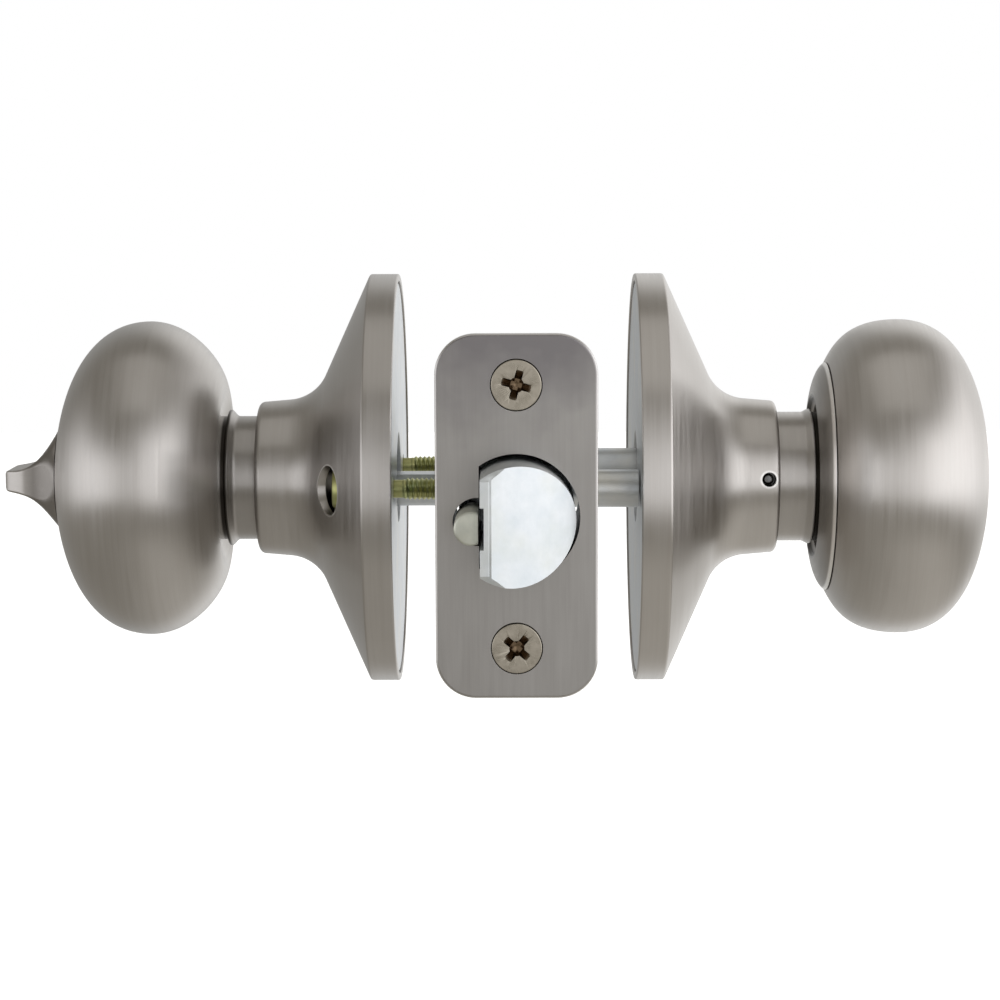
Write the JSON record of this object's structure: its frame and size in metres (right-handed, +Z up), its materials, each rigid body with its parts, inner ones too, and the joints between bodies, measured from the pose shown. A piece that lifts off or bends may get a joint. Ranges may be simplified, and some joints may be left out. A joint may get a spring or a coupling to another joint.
{
  "type": "keyed door knob set",
  "caption": "Keyed entry door knob set: round satin knobs on conical roses, a thumb turn inside, and a bevelled spring bolt with a deadlatch plunger in a faceplate.",
  "frame": {"origin": "on the spindle axis, at the middle of the door's thickness: the centre of the door's cross bore", "axes": "+X along the spindle towards the outside of the door, where the key goes; -Y towards the edge of the door and the latch faceplate; +Z up"},
  "size_m": [0.1721, 0.1089, 0.0718],
  "materials": {
    "satin_nickel": "satin nickel plate, brushed round the spindle",
    "zinc_plate": "bright zinc plate on pressed steel",
    "zinc_bolt": "bright clear zinc on a cast bolt",
    "zinc_plunger": "dull zinc",
    "yellow_zinc": "yellow passivated zinc",
    "spring_steel": "drawn wire and hardened strip",
    "sintered_steel": "sintered steel, dull",
    "brass": "machined brass",
    "screw_nickel": "warm nickel plate"
  },
  "bodies": {
    "chassis": {"exterior_rose": "satin_nickel", "interior_rose": "satin_nickel", "exterior_mounting_plate": "zinc_plate", "interior_mounting_plate": "zinc_plate", "exterior_bearing_sleeve": "zinc_plate", "interior_bearing_sleeve": "zinc_plate", "exterior_spring_cover": "zinc_plate", "interior_spring_cover": "zinc_plate", "exterior_return_spring": "spring_steel", "interior_return_spring": "spring_steel", "threaded_post_front": "zinc_plate", "threaded_post_rear": "zinc_plate", "through_bolt_front": "yellow_zinc", "through_bolt_rear": "yellow_zinc", "faceplate": "satin_nickel", "latch_back_plate": "zinc_plate", "faceplate_screw_top": "screw_nickel", "faceplate_screw_bottom": "screw_nickel", "latch_tube": "zinc_plate", "latch_case_right": "zinc_plate", "latch_case_left": "zinc_plate", "bolt_spring": "spring_steel", "bolt_spring_seat": "zinc_plate"},
    "exterior_knob": {"exterior_knob_shell": "satin_nickel", "exterior_knob_back_ring": "satin_nickel", "exterior_knob_shank": "satin_nickel", "exterior_spindle": "zinc_plate", "exterior_snap_ring": "spring_steel", "exterior_knob_catch": "spring_steel", "cylinder_face_ring": "satin_nickel", "cylinder_housing": "brass", "pin_chamber_cover": "brass", "driver_pin_1": "spring_steel", "driver_pin_2": "spring_steel", "driver_pin_3": "spring_steel", "driver_pin_4": "spring_steel", "driver_pin_5": "spring_steel"},
    "key_cylinder_plug": {"key_plug": "brass", "plug_clip": "spring_steel", "tailpiece": "zinc_plate", "key_pin_1": "brass", "key_pin_2": "brass", "key_pin_3": "brass", "key_pin_4": "brass", "key_pin_5": "brass"},
    "interior_knob": {"interior_knob_shell": "satin_nickel", "interior_knob_shank": "satin_nickel", "interior_spindle": "zinc_plate", "interior_snap_ring": "spring_steel", "interior_knob_catch": "spring_steel", "thumb_turn_washer": "spring_steel"},
    "thumb_turn_bar": {"thumb_turn": "satin_nickel", "torque_blade": "zinc_plate"},
    "hub": {"latch_hub": "sintered_steel"},
    "bolt": {"latch_bolt": "zinc_bolt", "retractor": "zinc_plate", "plunger_spring": "spring_steel"},
    "plunger": {"deadlatch_plunger": "zinc_plunger"}
  },
  "joints": [
    {"name": "exterior_knob_turn", "type": "hinge", "parent": "chassis", "child": "exterior_knob", "pos_m": [0.066, 0, 0], "axis": [1, 0, 0], "range_deg": [0, 78], "stiffness_Nm_per_rad": 0.25, "springref_deg": -22.92, "deforming": ["exterior_return_spring"]},
    {"name": "interior_knob_turn", "type": "hinge", "parent": "chassis", "child": "interior_knob", "pos_m": [-0.066, 0, 0], "axis": [1, 0, 0], "range_deg": [0, 78], "stiffness_Nm_per_rad": 0.25, "springref_deg": -22.92, "deforming": ["interior_return_spring"]},
    {"name": "hub_turn", "type": "hinge", "parent": "chassis", "child": "hub", "pos_m": [0, 0, 0], "axis": [1, 0, 0], "range_deg": [0, 78]},
    {"name": "bolt_slide", "type": "slide", "parent": "chassis", "child": "bolt", "axis": [0, 1, 0], "range_m": [0, 0.0127], "stiffness_N_per_m": 50, "springref_m": -0.017, "deforming": ["bolt_spring"]},
    {"name": "plunger_slide", "type": "slide", "parent": "bolt", "child": "plunger", "axis": [0, 1, 0], "range_m": [0, 0.008], "stiffness_N_per_m": 120, "springref_m": -0.004, "deforming": ["plunger_spring"]},
    {"name": "thumb_turn_hinge", "type": "hinge", "parent": "interior_knob", "child": "thumb_turn_bar", "pos_m": [-0.082, 0, 0], "axis": [1, 0, 0], "range_deg": [0, 90]},
    {"name": "key_plug_turn", "type": "hinge", "parent": "exterior_knob", "child": "key_cylinder_plug", "pos_m": [0.07, 0, 0], "axis": [1, 0, 0], "range_deg": [0, 90]}
  ],
  "couplings": [
    {"joint": "interior_knob_turn", "follows": "exterior_knob_turn", "ratio": 1},
    {"joint": "hub_turn", "follows": "exterior_knob_turn", "ratio": 1},
    {"joint": "bolt_slide", "follows": "exterior_knob_turn", "m_per_rad": 0.0093288},
    {"joint": "key_plug_turn", "follows": "thumb_turn_hinge", "ratio": 1}
  ]
}
